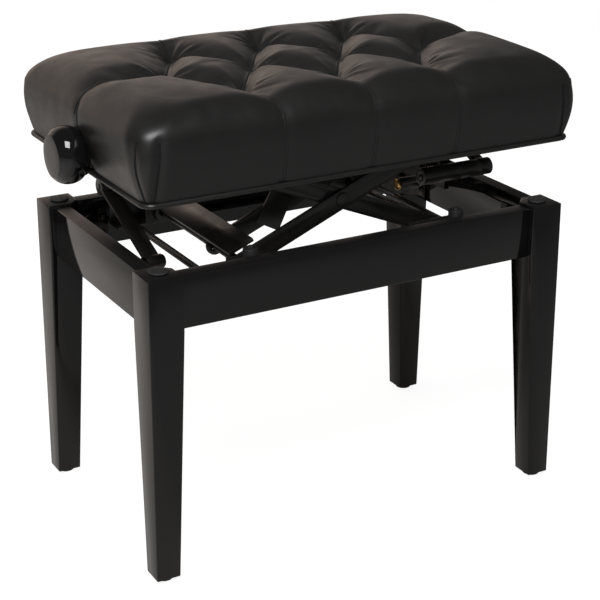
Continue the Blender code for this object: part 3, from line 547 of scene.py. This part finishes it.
def puff_up(piece, grip, calm, pressure, slack, cap, frames=20, ironings=14):
    """Blows the leather up with Cloth. Grip holds each point, from 0, free, to 1, fixed, and
    no point moves further than the cap. Calm, from 0 to 1, irons its wrinkles out again."""
    start = np.array([v.co for v in piece.data.vertices])
    group = piece.vertex_groups.new(name="sewn down")
    for i, hold in enumerate(grip):
        if hold > 0.01:
            group.add([i], float(hold), "REPLACE")
    cloth = piece.modifiers.new("puff", "CLOTH")
    stuff = cloth.settings
    stuff.quality = 5
    stuff.mass = 0.3
    stuff.tension_stiffness = stuff.compression_stiffness = 15.0
    stuff.shear_stiffness = 4.0
    stuff.bending_stiffness = 6.0
    stuff.use_pressure = True
    stuff.uniform_pressure_force = pressure
    stuff.shrink_min = slack
    stuff.vertex_group_mass = group.name
    stuff.effector_weights.gravity = 0.0
    cloth.collision_settings.use_collision = False
    cloth.collision_settings.use_self_collision = False
    scene = bpy.context.scene
    for step in range(1, frames + 1):
        scene.frame_set(step)
    soft = piece.evaluated_get(bpy.context.evaluated_depsgraph_get())
    moved = np.array([v.co for v in soft.data.vertices]) - start
    piece.modifiers.remove(cloth)
    piece.vertex_groups.remove(group)
    scene.frame_set(1)
    length = np.linalg.norm(moved, axis=1, keepdims=True)
    moved *= np.minimum(1.0, cap / np.maximum(length, 1e-9))
    edges = np.array([edge.vertices[:] for edge in piece.data.edges])
    first, second = edges[:, 0], edges[:, 1]
    neighbours = np.bincount(edges.ravel(), minlength=len(start))[:, None]
    for _ in range(ironings):
        around = np.zeros_like(moved)
        np.add.at(around, first, moved[second])
        np.add.at(around, second, moved[first])
        moved += 0.6 * calm[:, None] * (around / neighbours - moved)
    piece.data.vertices.foreach_set("co", (start + moved).ravel())
    piece.data.update()


def hold_along(points, lines, width):
    """1 within half the width from the lines, fading to 0 at one and a half widths."""
    held = np.zeros(len(points))
    for line in lines:
        away, _ = distance_to(points, line)
        held = np.maximum(held, np.clip(1.5 - away / width, 0, 1))
    return held


on_top = spots[:, 2] > shoulder_z + 0.010
held_pleats = hold_along(spots[:, :2], PLEATS + EDGE_PLEATS, width=0.0035)
grip = np.where(on_top, held_pleats, 0.0)
grip = np.maximum(grip, hold_along(spots, WALL_SEAMS + DARTS, width=0.0040))
# The walls are held by about a third, and the hem wholly.
grip = np.maximum(grip, 0.35 * np.clip((TOP_Z - 0.030 - spots[:, 2]) / 0.020, 0, 1))
grip = np.maximum(grip, np.clip(1.0 - (spots[:, 2] - HEM_Z) / 0.012, 0, 1))
calm = np.clip((distance_to_tufts(spots[:, :2]) - 0.035) / 0.030, 0, 1) * (1 - grip)
puff_up(cushion, grip, calm, pressure=4.0, slack=-0.005, cap=0.008)
smoother = cushion.modifiers.new("finer surface", "SUBSURF")
smoother.levels = smoother.render_levels = 1
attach(cushion, "seat")
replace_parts(cushion, "seat_cover", "seat_foam")

bpy.context.view_layer.update()
surface = BVHTree.FromObject(cushion, bpy.context.evaluated_depsgraph_get())


def lay_cord(name, points, radius, finish, body="seat", closed=False):
    """A round cord through the points."""
    curve = bpy.data.curves.new(name, "CURVE")
    curve.dimensions = "3D"
    curve.bevel_depth = radius
    curve.bevel_resolution = 2
    spline = curve.splines.new("POLY")
    spline.points.add(len(points) - 1)
    spline.use_cyclic_u = closed
    for knot, point in zip(spline.points, points):
        knot.co = (*point, 1.0)
    curve.materials.append(finish.material)
    cord = bpy.data.objects.new(name, curve)
    bpy.context.scene.collection.objects.link(cord)
    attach(cord, body)
    return cord


# Near-black matt cords in the pleats, darts and end seams. They mark the sewn lines, and their
# dark is painted shade of the folds.
seam_and_fold_shade = Finish("painted_seam_and_fold_shade", (0.0015, 0.0014, 0.0014), 0.95)
seam_and_fold_shade.relief((seam_and_fold_shade.noise(1500.0, 2.0), 0.0002, 0.5))
stitching = Finish("seam_stitching", (0.003, 0.0028, 0.0028), 0.7)
stitching.relief((stitching.noise(1500.0, 2.0), 0.0002, 0.5))

SUNK = 0.0003                   # how deep a cord's middle lies in the leather
WALL_Z = 0.515                  # leather below this belongs to the walls


def over_the_top(segment, steps=40):
    """Points on the leather above a line in plan, which end where the walls begin."""
    points = []
    for i in range(steps + 1):
        t = i / steps
        x = segment[0][0] + (segment[1][0] - segment[0][0]) * t
        y = segment[0][1] + (segment[1][1] - segment[0][1]) * t
        hit = surface.ray_cast(Vector((x, y, 0.7)), Vector((0, 0, -1)))[0]
        if hit is None or hit.z < WALL_Z:
            break
        points.append(hit - Vector((0, 0, SUNK)))
    return points


def down_the_wall(segment, steps=24):
    """Points on a side wall of the cushion, beside a line near it."""
    points = []
    for i in range(steps + 1):
        spot = Vector(segment[0]).lerp(Vector(segment[1]), i / steps)
        on_end = abs(spot.x) / HALF_X > abs(spot.y) / HALF_Y
        outward = Vector((math.copysign(1, spot.x), 0, 0) if on_end
                         else (0, math.copysign(1, spot.y), 0))
        hit = surface.ray_cast(spot + outward * 0.05, -outward)[0]
        if hit is not None:
            points.append(hit - outward * SUNK)
    return points


# Stitched lines run on from the front tufts, and open folds from the others, whose near-black
# cords are painted shade. The seams of the long walls are sewn twice, and those of the ends once.
PLEAT_CORD, EDGE_PLEAT_CORD, END_SEAM_CORD, DART_CORD = 0.0013, 0.0010, 0.0009, 0.0014
STITCH_CORD, STITCH_APART = 0.0006, 0.0020
for i, pleat in enumerate(PLEATS):
    lay_cord(f"pleat_{i + 1}", over_the_top(pleat), PLEAT_CORD, seam_and_fold_shade)
for i, pleat in enumerate(EDGE_PLEATS):
    at_front = pleat[1][1] < -0.1
    lay_cord(f"edge_pleat_{i + 1}", over_the_top(pleat),
             STITCH_CORD if at_front else EDGE_PLEAT_CORD, stitching if at_front else seam_and_fold_shade)
for i, seam in enumerate(WALL_SEAMS):
    at_end = abs(seam[0][1]) < 0.1
    for k, shift in enumerate((0.0,) if at_end else (-STITCH_APART, STITCH_APART)):
        beside = [(x + shift, y, z) for x, y, z in seam]
        lay_cord(f"wall_seam_{i + 1}_{k + 1}", down_the_wall(beside),
                 END_SEAM_CORD if at_end else STITCH_CORD, seam_and_fold_shade if at_end else stitching)
for i, dart in enumerate(DARTS):
    lay_cord(f"corner_dart_{i + 1}", down_the_wall(dart), DART_CORD, seam_and_fold_shade)

# ---- Piping ----
# A cord wrapped in leather and sewn in round the foot of the cover, where it hides the staples
# that hold the cover to the rims.
PIPING_RADIUS = 0.0031
PIPING_CORNER = 0.013
CORNER_STEPS = 8
low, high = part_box("seat_piping")
half_thick = (high.z - low.z) / 2
corner_x, corner_y = high.x - half_thick - PIPING_CORNER, high.y - half_thick - PIPING_CORNER
path = []
for sx, sy, first in ((1, 1, 0), (-1, 1, 90), (-1, -1, 180), (1, -1, 270)):
    for i in range(CORNER_STEPS + 1):
        a = math.radians(first + 90 * i / CORNER_STEPS)
        path.append((sx * corner_x + PIPING_CORNER * math.cos(a),
                     sy * corner_y + PIPING_CORNER * math.sin(a), (low.z + high.z) / 2))
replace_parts(lay_cord("piping_cord", path, PIPING_RADIUS, leather, closed=True), "seat_piping")

# ---- Spindle, nut and knobs ----
# A rolled steel screw of two starts runs in a brass nut. The knobs are moulded in gloss black
# plastic and pinned on its ends.
dress(brass, ["nut_block"])
PITCH, STARTS, TURN_SIDES, STEPS_PER_PITCH = 0.0040, 2, 16, 5
THREAD_ROOT, THREAD_DEPTH = 0.0058, 0.0011
THREAD_START, THREAD_END = -0.052, 0.150
PLAIN_RADIUS, PLAIN_TIP, TIP_CHAMFER = 0.0068, 0.0060, 0.001
low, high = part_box("spindle")
spindle_y, spindle_z = (low.y + high.y) / 2, (low.z + high.z) / 2
shape = bmesh.new()
rings = []
for k in range(int((THREAD_END - THREAD_START) / PITCH * STEPS_PER_PITCH) + 1):
    x = THREAD_START + k * PITCH / STEPS_PER_PITCH
    ring = []
    for i in range(TURN_SIDES):
        a = 2 * math.pi * i / TURN_SIDES
        phase = (x / PITCH - STARTS * a / (2 * math.pi)) % 1.0
        r = THREAD_ROOT + THREAD_DEPTH * (1 - abs(2 * phase - 1))
        ring.append(shape.verts.new((x, spindle_y + r * math.cos(a), spindle_z + r * math.sin(a))))
    rings.append(ring)
for first, second in zip(rings, rings[1:]):
    for i in range(TURN_SIDES):
        j = (i + 1) % TURN_SIDES
        shape.faces.new((first[i], first[j], second[j], second[i]))
for start, end in ((low.x, THREAD_START), (THREAD_END, high.x)):
    plain = end - start
    turn_profile(shape, [(PLAIN_TIP, 0), (PLAIN_RADIUS, TIP_CHAMFER),
                         (PLAIN_RADIUS, plain - TIP_CHAMFER), (PLAIN_TIP, plain)],
                 (start, spindle_y, spindle_z), (1, 0, 0))
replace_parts(new_piece("threaded_spindle", shape, zinc, "spindle"), "spindle")

knob_plastic = Finish("gloss_black_plastic", (0.0045, 0.0045, 0.005), 0.05)
knob_plastic.vary_roughness(knob_plastic.noise(30.0, 3.0), 0.03, 0.07)
knob_plastic.relief((knob_plastic.noise(40.0, 1.0), 0.0004, 0.06))
# A knob is turned from pairs of a radius and a distance out from its foot.
RIM_THICK, RIM_LONG = 0.0125, 0.0175    # half axes of the oval that rounds the knob's rim
RIM_MIDDLE = 0.0192
RIM_FROM, RIM_SWEEP, RIM_STEPS = -62, 128, 16
KNOB_FOOT = [(0.0090, 0.0), (0.0240, 0.0), (0.0258, 0.0006)]
KNOB_FACE = [(0.0251, 0.0360), (0.0244, 0.0366), (0.0230, 0.0369), (0.0120, 0.0371),
             (0.0010, 0.0372)]
for end, sx in ENDS:
    low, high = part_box(f"knob_{end}")
    radius = (high.z - low.z) / 2
    base = (low.x if sx > 0 else high.x, spindle_y, spindle_z)
    rim = []
    for i in range(RIM_STEPS + 1):
        a = math.radians(RIM_FROM + RIM_SWEEP * i / RIM_STEPS)
        rim.append((radius - RIM_THICK + RIM_THICK * math.cos(a),
                    RIM_MIDDLE + RIM_LONG * math.sin(a)))
    shape = bmesh.new()
    turn_profile(shape, KNOB_FOOT + rim + KNOB_FACE, base, (sx, 0, 0), sides=72)
    knob = new_piece(f"turned_knob_{end}", shape, knob_plastic, "spindle",
                     smooth=60)
    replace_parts(knob, f"knob_{end}")

# ---- Studio ----
# A white sweep, a large warm soft box up on the left, a weaker one overhead, and a smaller and
# stronger square lamp in front, the only one whose reflection shows in gloss.
def lamp(name, place, aim, size, power, colour=(1, 1, 1), mirrored=False):
    """A rectangular lamp that faces its aim. Gloss shows it only if it is mirrored."""
    light = bpy.data.lights.new(name, "AREA")
    light.shape = "RECTANGLE"
    light.size, light.size_y = size
    light.energy = power
    light.color = colour
    holder = bpy.data.objects.new(name, light)
    holder.location = place
    holder.rotation_euler = (Vector(aim) - Vector(place)).to_track_quat("-Z", "Y").to_euler()
    holder.visible_glossy = mirrored
    bpy.context.scene.collection.objects.link(holder)


lamp("left_softbox", (-2.6, 0.9, 1.7), (0, 0, 0.4), (2.2, 2.0), 20, (1.0, 0.84, 0.74))
lamp("overhead_softbox", (0.2, 1.3, 2.9), (0, 0, 0.4), (2.6, 1.8), 8, (1.0, 0.95, 0.91))
lamp("square_lamp", (-1.0, -1.3, 2.4), (-0.3, 0, 0.47), (1.1, 1.1), 56, mirrored=True)

shape = bmesh.new()
bmesh.ops.create_grid(shape, x_segments=1, y_segments=1, size=14.0)
floor_mesh = bpy.data.meshes.new("studio_floor")
shape.to_mesh(floor_mesh)
shape.free()
floor = bpy.data.objects.new("studio_floor", floor_mesh)
bpy.context.scene.collection.objects.link(floor)
floor_paint = bpy.data.materials.new("white_sweep")
floor_paint.use_nodes = True
tree = floor_paint.node_tree
tree.nodes.clear()
output = tree.nodes.new("ShaderNodeOutputMaterial")
matt = tree.nodes.new("ShaderNodeBsdfDiffuse")
matt.inputs["Color"].default_value = (0.25, 0.25, 0.25, 1)
rays = tree.nodes.new("ShaderNodeLightPath")
position = tree.nodes.new("ShaderNodeNewGeometry")
split = tree.nodes.new("ShaderNodeSeparateXYZ")
tree.links.new(position.outputs["Position"], split.inputs["Vector"])
lit = tree.nodes.new("ShaderNodeEmission")
tree.links.new(rays.outputs["Is Camera Ray"], lit.inputs["Strength"])
lit.inputs["Color"].default_value = (0.90, 0.90, 0.90, 1)
# A painted pool of warm light on the floor, left of the bench and behind it: the floor glows there
# for glossy rays only, a painted reflection.
depth = tree.nodes.new("ShaderNodeMapRange")
depth.inputs["From Min"].default_value = -1.5
depth.inputs["From Max"].default_value = 1.5
tree.links.new(split.outputs["Y"], depth.inputs["Value"])
painted_light_pool = tree.nodes.new("ShaderNodeValToRGB")
stops = painted_light_pool.color_ramp.elements
stops[0].position, stops[0].color = 0.20, (0.30, 0.30, 0.30, 1)
stops[1].position, stops[1].color = 0.48, (0.53, 0.48, 0.435, 1)
for place, colour in ((0.72, (0.57, 0.51, 0.455, 1)), (0.86, (0.36, 0.33, 0.30, 1))):
    stops.new(place).color = colour
tree.links.new(depth.outputs["Result"], painted_light_pool.inputs["Fac"])
across = tree.nodes.new("ShaderNodeMapRange")
across.inputs["From Min"].default_value = -0.15
across.inputs["From Max"].default_value = -0.60
across.inputs["To Min"].default_value = 0.15
tree.links.new(split.outputs["X"], across.inputs["Value"])
gloss_only = tree.nodes.new("ShaderNodeMath")
gloss_only.operation = "MULTIPLY"
tree.links.new(across.outputs["Result"], gloss_only.inputs[0])
tree.links.new(rays.outputs["Is Glossy Ray"], gloss_only.inputs[1])
# Painted reflection: the floor's glow of the light pool, seen only in gloss.
mirrored = tree.nodes.new("ShaderNodeEmission")
tree.links.new(painted_light_pool.outputs["Color"], mirrored.inputs["Color"])
tree.links.new(gloss_only.outputs["Value"], mirrored.inputs["Strength"])
glows = tree.nodes.new("ShaderNodeAddShader")
tree.links.new(lit.outputs["Emission"], glows.inputs[0])
tree.links.new(mirrored.outputs["Emission"], glows.inputs[1])
both = tree.nodes.new("ShaderNodeAddShader")
tree.links.new(matt.outputs["BSDF"], both.inputs[0])
tree.links.new(glows.outputs["Shader"], both.inputs[1])
tree.links.new(both.outputs["Shader"], output.inputs["Surface"])
floor_mesh.materials.append(floor_paint)

world = bpy.data.worlds.new("white_studio")
bpy.context.scene.world = world
world.use_nodes = True
tree = world.node_tree
tree.nodes.clear()
output = tree.nodes.new("ShaderNodeOutputWorld")
sky = tree.nodes.new("ShaderNodeBackground")
sky.inputs["Color"].default_value = (1, 1, 1, 1)
rays = tree.nodes.new("ShaderNodeLightPath")
seen = tree.nodes.new("ShaderNodeMath")
seen.operation = "MAXIMUM"
tree.links.new(rays.outputs["Is Camera Ray"], seen.inputs[0])
tree.links.new(rays.outputs["Is Transmission Ray"], seen.inputs[1])
# Gloss sees a dark ceiling, a dim room in front of the bench and a warmer, brighter wall
# behind it.
heading = tree.nodes.new("ShaderNodeTexCoord")
split = tree.nodes.new("ShaderNodeSeparateXYZ")
tree.links.new(heading.outputs["Generated"], split.inputs["Vector"])


def ramp_along(axis, start, end, value):
    """A value that rises smoothly from 0 while the axis goes from start to end."""
    node = tree.nodes.new("ShaderNodeMapRange")
    node.interpolation_type = "SMOOTHSTEP"
    node.inputs["From Min"].default_value = start
    node.inputs["From Max"].default_value = end
    node.inputs["To Min"].default_value = 0.0
    node.inputs["To Max"].default_value = value
    tree.links.new(split.outputs[axis], node.inputs["Value"])
    return node.outputs["Result"]


def join_values(how, first, second):
    """One sum of two values, each a number or the output of a node."""
    node = tree.nodes.new("ShaderNodeMath")
    node.operation = how
    for socket, value in zip(node.inputs, (first, second)):
        if isinstance(value, float):
            socket.default_value = value
        else:
            tree.links.new(value, socket)
    return node.outputs["Value"]


back_wall = ramp_along("Y", 0.64, 1.0, 1.0)
front_room = join_values("MULTIPLY", ramp_along("Y", 0.2, -0.4, 1.0),
                         ramp_along("Z", 1.0, 0.40, 0.075))
glow = join_values("ADD", join_values("MULTIPLY", back_wall, 0.75), front_room)
tint = tree.nodes.new("ShaderNodeMix")
tint.data_type = "RGBA"
tint.inputs["A"].default_value = (1.0, 0.95, 0.92, 1)
tint.inputs["B"].default_value = (1.0, 0.81, 0.70, 1)
tree.links.new(back_wall, tint.inputs["Factor"])
room = tree.nodes.new("ShaderNodeBackground")
tree.links.new(tint.outputs["Result"], room.inputs["Color"])
tree.links.new(join_values("ADD", glow, 0.06), room.inputs["Strength"])
even = tree.nodes.new("ShaderNodeBackground")
even.inputs["Color"].default_value = (1, 1, 1, 1)
even.inputs["Strength"].default_value = 0.32
tree.links.new(seen.outputs["Value"], sky.inputs["Strength"])
gloss_or_not = tree.nodes.new("ShaderNodeMixShader")
tree.links.new(rays.outputs["Is Glossy Ray"], gloss_or_not.inputs["Fac"])
tree.links.new(even.outputs["Background"], gloss_or_not.inputs[1])
tree.links.new(room.outputs["Background"], gloss_or_not.inputs[2])
seen_or_not = tree.nodes.new("ShaderNodeMixShader")
tree.links.new(seen.outputs["Value"], seen_or_not.inputs["Fac"])
tree.links.new(gloss_or_not.outputs["Shader"], seen_or_not.inputs[1])
tree.links.new(sky.outputs["Background"], seen_or_not.inputs[2])
tree.links.new(seen_or_not.outputs["Shader"], output.inputs["Surface"])

camera_data = bpy.data.cameras.new("camera")
camera_data.lens = 95.62
camera_data.sensor_width = 36.0
camera_data.shift_y = -0.12
camera = bpy.data.objects.new("camera", camera_data)
camera.location = (-0.9055, -1.6160, 0.9748)
camera.rotation_euler = (math.radians(90 - 19.13), 0, math.radians(-29.354))
bpy.context.scene.collection.objects.link(camera)
bpy.context.scene.camera = camera
bpy.context.scene.view_settings.view_transform = "Standard"
